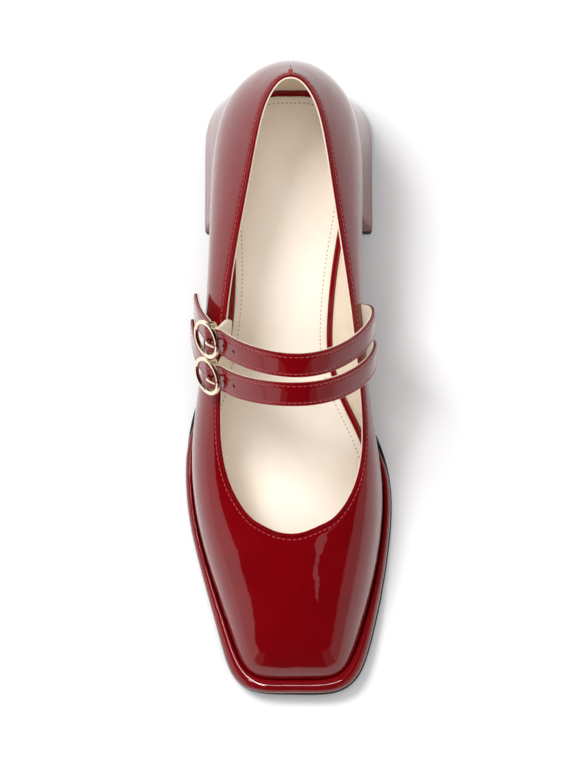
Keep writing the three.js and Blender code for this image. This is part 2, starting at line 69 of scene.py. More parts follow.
# The sole in side view: heights of the tread and of the sole's top.
SOLE_LINE = np.array([
    [45.0, 48.5], [42.1, 45.6], [39.2, 42.7], [36.3, 39.8], [33.4, 36.9],
    [30.4, 33.9], [26.2, 29.9], [21.5, 25.2], [15.3, 19.2], [8.0, 12.4],
    [2.4, 6.4], [-0.9, 2.6], [-0.9, 2.3], [-0.6, 3.0], [0.7, 4.1],
    [2.3, 5.6], [4.0, 7.2], [6.0, 9.1], [8.6, 11.2], [11.5, 13.5],
])

FOOT_S, TOP_S = 1, 6  # the columns of LAST that hold the stations of the foot and of the topline

# The last, from the toe by the outer side, heel and inner side: foot x, s, knee x, s, z, top x, s, z.
LAST = np.array([
    [2.0, 242.2, 1.5, 239.5, 30.8, 0.5, 186.7, 42.0],
    [-9.0, 242.6, -7.5, 239.5, 29.8, -3.5, 186.3, 41.4],
    [-18.0, 240.8, -15.5, 236.5, 28.2, -7.5, 185.0, 40.4],
    [-22.2, 232.0, -20.5, 229.0, 28.0, -11.5, 182.7, 39.4],
    [-26.2, 218.0, -26.0, 217.0, 28.6, -15.5, 180.4, 38.2],
    [-32.4, 199.0, -33.0, 199.0, 29.2, -20.0, 174.8, 37.2],
    [-37.8, 179.0, -39.5, 180.0, 29.2, -25.0, 165.5, 36.6],
    [-40.2, 158.0, -43.0, 160.0, 30.0, -28.2, 152.0, 39.2],
    [-38.4, 137.0, -43.0, 139.0, 32.0, -28.6, 136.0, 44.4],
    [-32.0, 116.0, -41.5, 118.0, 38.0, -27.6, 118.0, 51.2],
    [-28.0, 95.0, -41.0, 96.0, 45.0, -25.6, 98.0, 59.6],
    [-26.2, 74.0, -41.0, 75.0, 50.0, -22.2, 77.0, 69.4],
    [-26.8, 53.0, -40.5, 54.0, 55.0, -18.0, 58.0, 79.6],
    [-27.8, 32.0, -38.5, 32.0, 59.0, -14.6, 41.0, 89.4],
    [-24.0, 13.0, -33.0, 10.0, 63.0, -11.4, 26.5, 98.2],
    [-12.5, 0.8, -15.5, -3.4, 66.0, -5.6, 17.6, 103.2],
    [0.0, -2.0, 0.0, -6.8, 67.0, 0.0, 16.0, 104.2],
    [12.5, 0.8, 15.0, -3.4, 66.0, 5.6, 17.6, 103.2],
    [23.2, 13.0, 30.5, 10.0, 63.0, 11.6, 26.5, 98.2],
    [26.2, 32.0, 35.3, 32.0, 59.0, 14.8, 41.0, 89.6],
    [23.3, 53.0, 37.0, 54.0, 55.0, 17.6, 58.0, 80.4],
    [18.5, 74.0, 37.0, 75.0, 50.0, 21.0, 77.0, 70.8],
    [16.2, 95.0, 36.3, 97.0, 45.0, 24.6, 98.0, 61.4],
    [16.3, 116.0, 36.0, 119.0, 39.0, 27.2, 118.0, 53.0],
    [30.3, 137.0, 37.0, 140.0, 33.0, 29.2, 136.0, 46.0],
    [37.9, 157.0, 38.5, 161.0, 30.5, 29.6, 152.0, 41.4],
    [37.8, 178.0, 38.0, 181.0, 29.4, 26.6, 166.0, 39.4],
    [34.6, 200.0, 34.0, 201.0, 29.2, 21.5, 175.5, 39.4],
    [30.0, 218.5, 28.5, 218.0, 28.6, 16.5, 181.0, 40.0],
    [26.0, 232.5, 23.5, 229.5, 28.2, 12.0, 182.9, 40.8],
    [21.5, 241.0, 18.5, 236.5, 28.6, 8.0, 185.0, 41.4],
    [12.5, 242.6, 10.5, 239.5, 30.2, 4.0, 186.3, 41.8],
])

# The heel block at its seat and at the floor: front, back, outer, inner, squareness, straight from.
HEEL_SEAT = np.array([53.6, -2.9, -29.2, 27.2, 2.3, 30.0])
HEEL_FLOOR = np.array([55.6, -6.4, -35.4, 33.9, 2.9, 24.0])
HEEL_HOLLOW = 3.6  # depth of the hollow in the heel's front face

# Each strap's middle line, x, s, z, from its root on the inner side to its free end on the outer.
STRAPS = {
    "rear": np.array([
        [29.8, 101.5, 54.0], [32.2, 103.0, 60.0], [32.6, 108.5, 68.0], [28.0, 116.6, 77.4],
        [18.5, 124.6, 87.0], [7.4, 129.0, 93.4], [-5.0, 128.6, 93.4], [-17.0, 123.8, 85.4],
        [-24.8, 118.0, 75.8], [-29.6, 112.6, 66.8], [-34.2, 106.4, 57.8], [-36.9, 99.8, 49.0],
        [-37.8, 93.6, 40.6],
    ]),
    "front": np.array([
        [31.6, 114.6, 47.6], [33.2, 115.6, 53.6], [33.2, 119.8, 61.4], [30.0, 126.8, 70.6],
        [20.6, 134.4, 79.8], [9.4, 138.6, 86.4], [-3.4, 138.8, 86.4], [-15.6, 135.6, 77.6],
        [-24.4, 130.6, 66.6], [-29.4, 125.4, 56.6], [-35.0, 118.4, 47.4], [-38.2, 110.2, 38.4],
        [-39.4, 101.4, 29.8],
    ]),
}
BUCKLE_ROW = 9
ROOT_SINK = {"rear": 0.1, "front": 1.4}  # how far each strap's root is set into the wall
TAB_STATION = {"rear": 108, "front": 121}


# ---- curves and surfaces ----


def smooth(value, low, high):
    t = np.clip((np.asarray(value, float) - low) / (high - low), 0, 1)
    return t * t * (3 - 2 * t)


def bump(value, centre, width):
    return np.exp(-(((value - centre) / width) ** 2))


def unit(v):
    return v / np.maximum(np.linalg.norm(v, axis=-1, keepdims=True), 1e-9)


def circle(count):
    """Angles evenly spaced round a circle."""
    return np.linspace(0, 2 * np.pi, count, endpoint=False)


def run_of(points):
    """The length along a path up to each of its points."""
    return np.concatenate([[0], np.cumsum(np.linalg.norm(np.diff(points, axis=0), axis=1))])


def spline(rows, place, closed=False):
    """Uniform cubic B-spline over a table of rows, at places counted in rows."""
    place = np.asarray(place, float)
    count = len(rows)
    first = np.floor(place).astype(int)
    if not closed:
        first = np.clip(first, 1, count - 3)
    u = (place - first)[..., None]
    weights = [(1 - u) ** 3, 3 * u**3 - 6 * u**2 + 4, -3 * u**3 + 3 * u**2 + 3 * u + 1, u**3]
    return sum(w * rows[(first - 1 + k) % count] for k, w in enumerate(weights)) / 6


def sole_at(s):
    """Heights of the tread and of the sole's top at a station."""
    both = spline(SOLE_LINE, (np.asarray(s, float) - SOLE_FROM) / SOLE_STEP)
    return both[..., 0], both[..., 1]


def skin(turn, rise):
    """The outside of the upper, as x, -s, z."""
    row = spline(LAST, np.mod(turn, 1) * len(LAST), closed=True)
    foot = np.stack([row[..., 0], -row[..., 1], sole_at(row[..., 1])[1] + GAP], -1)
    knee = np.stack([row[..., 2], -row[..., 3], row[..., 4]], -1)
    top = np.stack([row[..., 5], -row[..., 6], row[..., 7]], -1)
    low = foot + (knee - foot) * KNEE_LOW
    high = top + (knee - top) * KNEE_HIGH
    t = np.asarray(rise, float)[..., None]
    return (1 - t) ** 3 * foot + 3 * (1 - t) ** 2 * t * low + 3 * (1 - t) * t**2 * high + t**3 * top


def wall_point(turn, rise, depth):
    """A point under the skin, level with it at the sole."""
    step = 1e-3
    along = skin(turn + step, rise) - skin(turn - step, rise)
    up = skin(turn, np.minimum(1, rise + step)) - skin(turn, np.maximum(0, rise - step))
    inward = unit(np.cross(along, up))
    inward[..., 2] *= smooth(rise, 0, 0.25)
    return skin(turn, rise) + unit(inward) * np.asarray(depth, float)[..., None]


class Profile:
    """Each section of the skin by its length, measured down from the topline."""

    def __init__(self, turns):
        self.turns = np.asarray(turns, float)
        self.rises = np.linspace(1, 0, 161)
        points = skin(self.turns[:, None], self.rises[None, :])
        steps = np.linalg.norm(np.diff(points, axis=1), axis=2)
        self.lengths = np.concatenate([np.zeros((len(self.turns), 1)), np.cumsum(steps, 1)], 1)

    def rise_at(self, distance):
        return np.array([
            np.interp(d, length, self.rises) for d, length in zip(distance, self.lengths)
        ])

    def total(self):
        return self.lengths[:, -1]


def rise_at_height(turns, heights):
    """The rise at which the skin stands a height over the sole, one for all turns or one for each."""
    rises = np.linspace(0, 0.5, 240)
    z = skin(turns[:, None], rises[None, :])[..., 2]
    z = np.maximum.accumulate(z - z[:, :1], 1)
    heights = np.broadcast_to(heights, len(turns))
    return np.array([np.interp(h, row, rises) for h, row in zip(heights, z)])


def turn_at_station(column, station, side):
    """The turn at which a column of the last passes a station."""
    turns = np.linspace(0.02, 0.48, 2000) * (1 if side == "outer" else -1)
    stations = spline(LAST, np.mod(turns, 1) * len(LAST), closed=True)[:, column]
    return float(turns[np.argmin(abs(stations - station))])


def even_turns(path_of, pitch):
    """Turns all round the shoe, evenly spaced in millimetres along a path of the skin."""
    fine = np.linspace(0.0, 1.0, 4000)
    lengths = run_of(path_of(fine))
    count = int(round(lengths[-1] / pitch))
    return np.interp((np.arange(count) + 0.5) / count * lengths[-1], lengths, fine)


# ---- meshes ----


def grid(points, wrap_rows=False, wrap_columns=False):
    """Vertices and quads of a grid of points, rows by columns."""
    rows, columns = points.shape[:2]
    r = np.arange(rows if wrap_rows else rows - 1)
    c = np.arange(columns if wrap_columns else columns - 1)
    r, c = [a.ravel() for a in np.meshgrid(r, c, indexing="ij")]
    r2, c2 = (r + 1) % rows, (c + 1) % columns
    quads = np.stack([r * columns + c, r * columns + c2, r2 * columns + c2, r2 * columns + c], 1)
    return points.reshape(-1, 3), quads.tolist()


def capped(rings):
    """A closed body through rings, with a face over each end."""
    rows, columns = rings.shape[:2]
    points, faces = grid(rings, wrap_columns=True)
    last = (rows - 1) * columns
    return points, faces + [list(range(columns))[::-1], list(range(last, last + columns))]


def domed(rings):
    """A closed body through rings, each end closed by a fan round its middle."""
    rows, columns = rings.shape[:2]
    points, faces = grid(rings, wrap_columns=True)
    points = np.vstack([points, rings[0].mean(0), rings[-1].mean(0)])
    first, last = rows * columns, (rows - 1) * columns
    for c in range(columns):
        n = (c + 1) % columns
        faces.append([first, n, c])
        faces.append([first + 1, last + c, last + n])
    return points, faces


def joined(bodies):
    """Several bodies as one."""
    points, faces, start = [], [], 0
    for p, f in bodies:
        points.append(p)
        faces += [[i + start for i in face] for face in f]
        start += len(p)
    return np.vstack(points), faces


def outward(points, faces):
    """Turns a closed body's faces outwards."""
    volume = 0.0
    for face in faces:
        a = points[face[0]]
        for i in range(1, len(face) - 1):
            volume += np.dot(a, np.cross(points[face[i]], points[face[i + 1]]))
    return faces if volume > 0 else [face[::-1] for face in faces]


def piece(name, body, material, replaces=(), sharp=50):
    """A named mesh piece of the shoe from points in shoe coordinates."""
    points, faces = body
    mesh = bpy.data.meshes.new(name)
    mesh.from_pydata(((points + ORIGIN) / 1000).tolist(), [], outward(points, faces))
    mesh.validate()
    mesh.shade_smooth()
    mesh.set_sharp_from_angle(angle=np.radians(sharp))
    mesh.materials.append(material)
    made = bpy.data.objects.new(name, mesh)
    bpy.context.scene.collection.objects.link(made)
    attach(made, "root")
    if replaces:
        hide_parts(*replaces)
    return made


def tube(points, radius, sides, hint=None):
    """A round rod along a path."""
    if hint is None:
        hint = np.tile([0.31, 0.22, 0.92], (len(points), 1))
    along = unit(np.gradient(points, axis=0))
    out = unit(hint - along * (along * hint).sum(1, keepdims=True))
    side = np.cross(along, out)
    angles = circle(sides)
    radius = np.broadcast_to(radius, len(points))[:, None, None]
    rings = points[:, None] + radius * (
        side[:, None] * np.cos(angles)[:, None] + out[:, None] * np.sin(angles)[:, None]
    )
    return domed(rings)


def curve(controls, count):
    """A smooth path through points."""
    p = np.asarray(controls, float)
    p = np.vstack([2 * p[0] - p[1], p, 2 * p[-1] - p[-2]])
    place = np.linspace(0, len(p) - 3 - 1e-9, count)
    i = place.astype(int)
    t = (place - i)[:, None]
    a, b, c, d = p[i], p[i + 1], p[i + 2], p[i + 3]
    return 0.5 * (2 * b + (c - a) * t + (2 * a - 5 * b + 4 * c - d) * t**2 + (3 * b - a - 3 * c + d) * t**3)


def stitches(ends, outs, size, sink):
    """Thread stitches of a size: each is a small arched bead along the line between two ends."""
    bodies = []
    t = np.array([0.0, 0.12, 0.3, 0.5, 0.7, 0.88, 1.0])
    thick = size["radius"] * np.array([0.35, 0.8, 1, 1, 1, 0.8, 0.35])
    rise = size["radius"] * np.array([-0.9, -0.1, 0.3, 0.45, 0.3, -0.1, -0.9])
    for (a, b), out in zip(ends, outs):
        middle, along = (a + b) / 2, unit(b - a)
        line = middle + along * ((t - 0.5) * size["length"])[:, None] + out * (rise - sink)[:, None]
        bodies.append(tube(line, thick, sides=6, hint=np.tile(out, (len(t), 1))))
    return joined(bodies)


def stitch_row(points, outs, size, sink):
    """Stitches centred on points of a row."""
    along = unit(np.gradient(points, axis=0))
    ends = [(p - a, p + a) for p, a in zip(points, along)]
    return stitches(ends, outs, size, sink)


# ---- materials ----


class Nodes:
    """A material's node tree, with short calls for the nodes that the finishes share."""

    def __init__(self, name, settings):
        self.material = bpy.data.materials.new(name)
        self.material.use_nodes = True
        self.tree = self.material.node_tree
        self.shader = self.tree.nodes["Principled BSDF"]
        for socket, value in settings.items():
            self.shader.inputs[socket].default_value = value
        self.place = self.tree.nodes.new("ShaderNodeTexCoord").outputs["Object"]
        self.normal = None

    def link(self, source, target):
        self.tree.links.new(source, target)

    def noise(self, scale, detail=2.0, distortion=0.0, stretch=None):
        node = self.tree.nodes.new("ShaderNodeTexNoise")
        node.inputs["Scale"].default_value = scale
        node.inputs["Detail"].default_value = detail
        node.inputs["Distortion"].default_value = distortion
        place = self.place
        if stretch:
            mapping = self.tree.nodes.new("ShaderNodeMapping")
            mapping.inputs["Scale"].default_value = stretch
            self.link(place, mapping.inputs["Vector"])
            place = mapping.outputs["Vector"]
        self.link(place, node.inputs["Vector"])
        return node.outputs["Fac"]

    def voronoi(self, scale):
        node = self.tree.nodes.new("ShaderNodeTexVoronoi")
        node.feature = "DISTANCE_TO_EDGE"
        node.inputs["Scale"].default_value = scale
        self.link(self.place, node.inputs["Vector"])
        return node.outputs["Distance"]

    def ramp(self, source, stops):
        node = self.tree.nodes.new("ShaderNodeValToRGB")
        node.color_ramp.elements[0].position = stops[0][0]
        node.color_ramp.elements[-1].position = stops[-1][0]
        for position, _ in stops[1:-1]:
            node.color_ramp.elements.new(position)
        for element, (_, colour) in zip(node.color_ramp.elements, stops):
            element.color = (*colour, 1)
        self.link(source, node.inputs["Fac"])
        return node.outputs["Color"]

    def colour(self, source, stops):
        self.link(self.ramp(source, stops), self.shader.inputs["Base Color"])

    def roughness(self, source, low, high):
        node = self.tree.nodes.new("ShaderNodeMapRange")
        node.inputs["To Min"].default_value = low
        node.inputs["To Max"].default_value = high
        self.link(source, node.inputs["Value"])
        self.link(node.outputs["Result"], self.shader.inputs["Roughness"])

    def relief(self, source, distance):
        node = self.tree.nodes.new("ShaderNodeBump")
        node.inputs["Distance"].default_value = distance
        node.inputs["Strength"].default_value = 1.0
        self.link(source, node.inputs["Height"])
        if self.normal:
            self.link(self.normal, node.inputs["Normal"])
        self.normal = node.outputs["Normal"]
        self.link(self.normal, self.shader.inputs["Normal"])
        if self.shader.inputs["Coat Weight"].default_value > 0:
            self.link(self.normal, self.shader.inputs["Coat Normal"])


def patent_leather():
    """Deep red leather under a clear film that swells a little over the leather beneath it."""
    coat = {"Coat Weight": 1.0, "Coat Roughness": 0.025, "Coat IOR": 1.5}
    n = Nodes("patent_leather", {"IOR": 1.3, "Specular IOR Level": 0.1, **coat})
    n.colour(n.noise(70, 4), [(0.3, (0.165, 0.0002, 0.0022)), (0.7, (0.188, 0.0004, 0.0030))])
    n.roughness(n.noise(260, 3), 0.42, 0.55)
    n.relief(n.noise(38, 1.5, 0.4), 0.0006)
    n.relief(n.noise(210, 2), 0.00006)
    return n.material


def lining_leather(name, low, high):
    """Matt cream leather with a fine grain and faint clouding."""
    n = Nodes(name, {"Sheen Weight": 0.08, "Sheen Roughness": 0.5, "Specular IOR Level": 0.3})
    n.colour(n.noise(45, 6), [(0.3, low), (0.7, high)])
    n.roughness(n.noise(500, 2), 0.55, 0.72)
    n.relief(n.voronoi(1500), 0.00012)
    n.relief(n.noise(2600, 3), 0.00006)
    return n.material


def black_rubber():
    n = Nodes("black_rubber", {"Specular IOR Level": 0.4})
    n.colour(n.noise(900, 4), [(0.35, (0.008, 0.008, 0.0075)), (0.7, (0.022, 0.022, 0.020))])
    n.roughness(n.noise(300, 3), 0.45, 0.7)
    n.relief(n.noise(1400, 3), 0.00008)
    return n.material


def pale_gold():
    n = Nodes("pale_gold", {"Metallic": 1.0})
    n.colour(n.noise(300, 3), [(0.3, (0.86, 0.72, 0.54)), (0.7, (0.93, 0.81, 0.63))])
    n.roughness(n.noise(900, 4), 0.10, 0.2)
    n.relief(n.noise(420, 2), 0.00004)
    return n.material


def thread(name, low, high):
    """Twisted thread, its strands shown by a fine stretched noise."""
    n = Nodes(name, {"Sheen Weight": 0.3, "Sheen Roughness": 0.4})
    n.colour(n.noise(3200, 2), [(0.35, low), (0.65, high)])
    n.roughness(n.noise(2000, 2), 0.35, 0.55)
    n.relief(n.noise(5200, 2, 0.6, (1, 0.3, 1)), 0.00006)
    return n.material


PATENT = patent_leather()
LINING = lining_leather("lining_leather", (0.88, 0.76, 0.61), (0.91, 0.81, 0.67))
SOCK = lining_leather("insole_leather", (0.91, 0.82, 0.72), (0.94, 0.86, 0.77))
RUBBER = black_rubber()
GOLD = pale_gold()
RED_THREAD = thread("red_thread", (0.30, 0.020, 0.028), (0.52, 0.090, 0.100))
TAN_THREAD = thread("tan_thread", (0.30, 0.20, 0.14), (0.46, 0.34, 0.26))


# ---- upper ----

BEAD = 1.4  # width of the rolled edge along the topline
FOLD = 2.4  # distance of the stitches under the topline, outside and inside
ROLL = {"in": 0.75, "reach": 4.2}  # how far and how low the topline turns in
PAD = {"heel": 6.0, "waist": 2.7}  # padding at the wall's foot
NEAR = 3.6  # down to here the rows of a shell follow the topline, and below it they share the rest
BACK = 0.5  # the turn of the back seam
TOPLINE_STITCH = {"pitch": 2.15, "length": 1.55, "radius": 0.19}
LINING_STITCH = {"pitch": 2.4, "length": 1.5, "radius": 0.16}
BACK_STITCH = {"pitch": 1.35, "length": 1.9, "radius": 0.13}
SEAM_LENGTH = 400.0  # millimetres that one turn spans near the back seam
SLIT = 0.04  # between the patent leather and the lining
LINING_SEAM = 60  # station of the lining's seams at the topline


def upper_turns():
    """Columns round the shoe, closer together at the back seam."""
    even = np.linspace(0, 1, 448, endpoint=False)
    seam = BACK + np.linspace(-0.004, 0.004, 25)
    kept = even[(even < seam[0]) | (even > seam[-1])]
    return np.sort(np.concatenate([kept, seam]))


def shell(turns, rows):
    """A closed shell through rows, each a function of a section's length: distance and depth."""
    profile = Profile(turns)
    length = profile.total()
    seam = (turns - BACK) * SEAM_LENGTH
    distances, depths = [], []
    for row in rows:
        distance, depth = row(length, seam)
        distances.append(distance)
        depths.append(np.broadcast_to(depth, length.shape))
    rises = profile.rise_at(np.array(distances).T).T
    points = np.array([wall_point(turns, r, d) for r, d in zip(rises, depths)])
    return grid(points, wrap_rows=True, wrap_columns=True)


def collar_roll(distance):
    """How far the outside turns in towards the topline."""
    return ROLL["in"] * np.clip(1 - distance / ROLL["reach"], 0, 1) ** 2


def upper_relief(distance, seam):
    """How far the outside of the upper lies under the plain skin."""
    fold = -0.3 * (1 - smooth(distance, BEAD - 0.35, BEAD))
    crease = 0.34 * bump(distance, BEAD, 0.2) + 0.16 * bump(distance, FOLD, 0.3)
    back_seam = 0.32 * bump(seam, 0, 0.28) - 0.1 * bump(np.abs(seam), 0.75, 0.4)
    return collar_roll(distance) + fold + crease + back_seam


def down_from_topline(length, share, distance):
    """A row's distance under the topline: the same all round, or a share of what is under NEAR."""
    down = distance if share is None else NEAR + (length - NEAR) * share
    return np.broadcast_to(down, length.shape)


def outside_row(share=None, distance=None):
    def row(length, seam):
        down = down_from_topline(length, share, distance)
        return down, upper_relief(down, seam)
    return row


def plain_row(depth, share=None, distance=None):
    def row(length, seam):
        return down_from_topline(length, share, distance), depth
    return row


def rim_rows(top, outer, inner):
    """A rounded edge at the topline between an outer and an inner depth."""
    radius = (inner - outer) / 2
    angles = np.linspace(-np.pi / 2, np.pi / 2, 9)[1:-1]
    return [
        plain_row(outer + radius + radius * np.sin(a), distance=top + radius * (1 - np.cos(a)))
        for a in angles
    ]


def build_upper():
    turns = upper_turns()
    near = np.arange(0.5, NEAR, 0.13)
    far = np.linspace(0, 1, 58)
    rows = [outside_row(share=t) for t in far[::-1]]
    rows += [outside_row(distance=d) for d in near[::-1]]
    rows += rim_rows(0.0, collar_roll(0.0) - 0.3, SKIN)
    rows += [plain_row(SKIN, distance=d) for d in (0.8, 2.2)]
    rows += [plain_row(SKIN, share=t) for t in np.linspace(0, 1, 16)]
    piece("upper_patent", shell(turns, rows), PATENT, ["upper"], sharp=70)


def wall_pad(turns):
    """How far the padded foot of the wall stands inside it, at the heel and along the outer waist."""
    return PAD["heel"] * bump(turns, BACK, 0.05) + PAD["waist"] * bump(turns, 0.31, 0.07)


def lining_seams():
    """The turns of the lining's two seams, one each side of the heel."""
    return [turn_at_station(TOP_S, LINING_SEAM, side) % 1 for side in ("outer", "inner")]


def build_lining():
    turns = np.linspace(0, 1, 420, endpoint=False)
    extra = [seam + np.linspace(-0.002, 0.002, 9) for seam in lining_seams()]
    turns = np.unique(np.concatenate([turns, *extra]))
    grooves = sum(0.3 * bump(turns, seam, 0.0007) for seam in lining_seams())

    def inner_row(share=None, distance=None):
        def row(length, seam):
            down = down_from_topline(length, share, distance)
            crease = -0.12 * bump(down, FOLD, 0.35)
            pad = wall_pad(turns) * smooth(down / length, 0.05, 0.8)
            return down, WALL + crease + pad - grooves * smooth(down, 0.5, 1.5)
        return row

    rows = [plain_row(SKIN + SLIT, share=t) for t in np.linspace(1, 0, 14)]
    rows += [plain_row(SKIN + SLIT, distance=d) for d in (2.0, 0.6)]
    rows += rim_rows(0.1, SKIN + SLIT, WALL)
    rows += [inner_row(distance=d) for d in np.arange(0.6, NEAR, 0.3)]
    rows += [inner_row(share=t) for t in np.linspace(0, 1, 34)]
    piece("upper_lining", shell(turns, rows), LINING, sharp=70)


def row_on_wall(pitch, distance, depth):
    """Points all round the wall at a distance under the topline, and the wall's inward normals."""
    def path(turns, further=0):
        rises = Profile(turns).rise_at(np.full((len(turns), 1), distance))[:, 0]
        return wall_point(turns, rises, np.full(len(turns), depth + further))

    turns = even_turns(path, pitch)
    points = path(turns)
    return points, unit(path(turns, 1) - points)


def build_upper_stitches():
    points, inward = row_on_wall(TOPLINE_STITCH["pitch"], FOLD, collar_roll(FOLD) + 0.08)
    piece("topline_stitches", stitch_row(points, -inward, TOPLINE_STITCH, 0.02), RED_THREAD)
    points, inward = row_on_wall(LINING_STITCH["pitch"], FOLD, WALL)
    piece("lining_stitches", stitch_row(points, inward, LINING_STITCH, 0.0), TAN_THREAD)
    rungs = np.arange(0.9, 9.0, BACK_STITCH["pitch"])
    turn = np.full(len(rungs), BACK)
    rises = Profile(turn).rise_at(rungs[:, None])[:, 0]
    step = 0.9 / SEAM_LENGTH
    left = wall_point(turn - step, rises, np.full(len(rungs), -0.1))
    right = wall_point(turn + step, rises, np.full(len(rungs), -0.1))
    outs = unit(left + right - 2 * wall_point(turn, rises, np.full(len(rungs), 1.0)))
    body = stitches(list(zip(left, right)), outs, BACK_STITCH, -0.03)
    piece("back_seam_stitches", body, RED_THREAD)


# ---- insole ----

INSOLE_EDGE = 0.9  # how far the rounding of the insole's edge reaches in
INSOLE_BODY = 2.6  # thickness of the insole
INSOLE_STITCH = {"inset": 4.6, "pitch": 1.75, "length": 0.85, "radius": 0.2}
PIPING = {"from": 152, "to": 174, "wide": 1.35, "high": 0.95, "in": 1.25, "up": 0.2}


def insole_rim(turns, inset):
    rises = rise_at_height(turns, INSOLE_BODY)
    rim = wall_point(turns, rises, WALL + 0.35 + wall_pad(turns))
    side = unit(np.roll(rim, -1, 0) - np.roll(rim, 1, 0))
    rim[:, :2] += np.stack([side[:, 1], -side[:, 0]], 1) * inset
    rim[:, 2] = sole_at(-rim[:, 1])[1] + INSOLE_RISE
    return rim


def build_insole():
    turns = np.linspace(0, 1, 400, endpoint=False)
    centre = np.array([0.0, -118.0, 0.0])
    edge = [
        (INSOLE_EDGE, -INSOLE_BODY), (0.3, -2.45), (0.05, -2.0), (0.0, -1.2), (0.1, -0.55), (0.4, -0.15),
        (INSOLE_EDGE, 0.0),
    ]
    inner = insole_rim(turns, INSOLE_EDGE)

    def level_ring(share, drop):
        ring = centre + (inner - centre) * share
        ring[:, 2] = sole_at(-ring[:, 1])[1] + INSOLE_RISE - drop
        return ring

    rings = [level_ring(share, INSOLE_BODY) for share in (0.05, 0.3, 0.6, 0.9)]
    for inset, drop in edge:
        rim = insole_rim(turns, inset)
        rim[:, 2] += drop
        rings.append(rim)
    rings += [level_ring(share, 0.0) for share in np.linspace(0.985, 0.03, 34)]
    piece("insole_sock", domed(np.array(rings)), SOCK, ["insole"], sharp=60)
    start = np.linspace(0, 1, 2000, endpoint=False)
    path = insole_rim(start, INSOLE_STITCH["inset"])
    lengths = run_of(path)
    count = int(lengths[-1] / INSOLE_STITCH["pitch"])
    at = np.interp((np.arange(count) + 0.5) / count * lengths[-1], lengths, np.arange(len(path)))
    points = path[at.astype(int)]
    ups = np.tile([0.0, 0.0, 1.0], (count, 1))
    piece("insole_stitches", stitch_row(points, ups, INSOLE_STITCH, 0.06), TAN_THREAD)


def build_piping():
    """The red strip that lies along the insole's edge, from the ball round the heel and back."""
    start = turn_at_station(FOOT_S, PIPING["from"], "outer")
    end = 1 + turn_at_station(FOOT_S, PIPING["to"], "inner")
    share = np.linspace(0, 1, 420)
    turns = np.linspace(start, end, len(share))
    full = smooth(share, 0, 0.07) * (1 - smooth(share, 0.93, 1)) * 0.85 + 0.15
    rises = rise_at_height(turns, INSOLE_RISE + PIPING["up"])
    centre = wall_point(turns, rises, WALL + PIPING["in"] * full + wall_pad(turns))
    centre[:, 2] = sole_at(-centre[:, 1])[1] + INSOLE_RISE + PIPING["up"]
    along = unit(np.gradient(centre, axis=0))
    side = unit(np.cross(along, [0, 0, 1.0]))
    up = np.cross(side, along)
    angles = circle(16)
    wide = (PIPING["wide"] * full)[:, None, None] * np.cos(angles)[None, :, None]
    high = (PIPING["high"] * full)[:, None, None] * np.sin(angles)[None, :, None]
    rings = centre[:, None] + side[:, None] * wide + up[:, None] * high
    piece("insole_piping", domed(rings), PATENT)


# ---- sole ----


def sole_margin(s):
    """How far the sole's edge stands outside the upper's foot at a station."""
    forefoot = RAND["side"] + (RAND["toe"] - RAND["side"]) * smooth(s, 185, 243) + GAP
    return -WAIST["inset"] + (forefoot + WAIST["inset"]) * smooth(s, WAIST["from"], WAIST["to"])


def plan_outward(turns):
    """Directions in plan, out of the upper's foot."""
    foot = skin(turns, np.zeros(len(turns)))
    return unit(wall_point(turns, np.zeros(len(turns)), np.full(len(turns), -1.0)) - foot)


def plan_normals(outline):
    """Outward normals of a closed outline."""
    along = np.roll(outline, -1, 0) - np.roll(outline, 1, 0)
    normal = unit(np.stack([along[:, 1], -along[:, 0]], 1))
    x, y = outline[:, 0], outline[:, 1]
    area = np.sum(x * np.roll(y, -1) - np.roll(x, -1) * y)
    return normal if area > 0 else -normal


def resampled(outline, count):
    """A closed outline with its points evenly spaced."""
    closed = np.vstack([outline, outline[:1]])
    lengths = run_of(closed)
    at = np.linspace(0, lengths[-1], count, endpoint=False)
    return np.stack([np.interp(at, lengths, closed[:, k]) for k in (0, 1)], 1)


def softened(outline, passes):
    """Rounds the corners of an evenly spaced outline."""
    for _ in range(passes):
        outline = (np.roll(outline, 1, 0) + 2 * outline + np.roll(outline, -1, 0)) / 4
    return outline


def build_outsole():
    turns = np.linspace(0, 1, 1200, endpoint=False)
    edge = skin(turns, np.zeros(1200))
    lip = SOLE_LIP * smooth(-edge[:, 1], WAIST["from"], WAIST["to"]) * smooth(edge[:, 0], -30, 10)
    edge = edge + plan_outward(turns) * (sole_margin(-edge[:, 1]) + lip)[:, None]
    front = edge[-edge[:, 1] > BREAST, :2]
    turn = turns[-edge[:, 1] > BREAST]
    outer, inner = front[turn < 0.5], front[turn > 0.5]
    across = np.linspace(outer[-1], inner[0], 60)[1:-1]
    _, _, seat_outer, seat_inner, _, _ = HEEL_SEAT
    hollow = breast_hollow((across[:, 0] - seat_outer) / (seat_inner - seat_outer))
    across[:, 1] = hollow - BREAST
    outline = np.vstack([outer, across, inner])
    outline = softened(resampled(outline, 560), 6)
    normals = plan_normals(outline)
    centre = np.array([-4.0, -150.0])

    def ring(share, inset, up, tread_share):
        plan = (outline - normals * inset - centre) * share + centre
        tread, top = sole_at(-plan[:, 1])
        base = np.maximum(0, tread) * (1 - tread_share) + top * tread_share
        return np.column_stack([plan, base + up])

    shares = np.linspace(0.02, 0.97, 26)
    rings = [ring(share, 1.2, 0.0, 0) for share in shares]
    rings += [ring(1, i, u, 0) for i, u in ((1.2, 0.0), (0.6, 0.03), (0.25, 0.18), (0.08, 0.5), (0, 0.9))]
    rings += [ring(1, i, u, 1) for i, u in ((0, -0.9), (0.08, -0.45), (0.3, -0.12), (0.7, 0.0), (1.2, 0.0))]
    rings += [ring(share, 1.2, 0.0, 1) for share in shares[::-1]]
    piece("outsole_rubber", domed(np.array(rings)), RUBBER, ["outsole"], sharp=55)


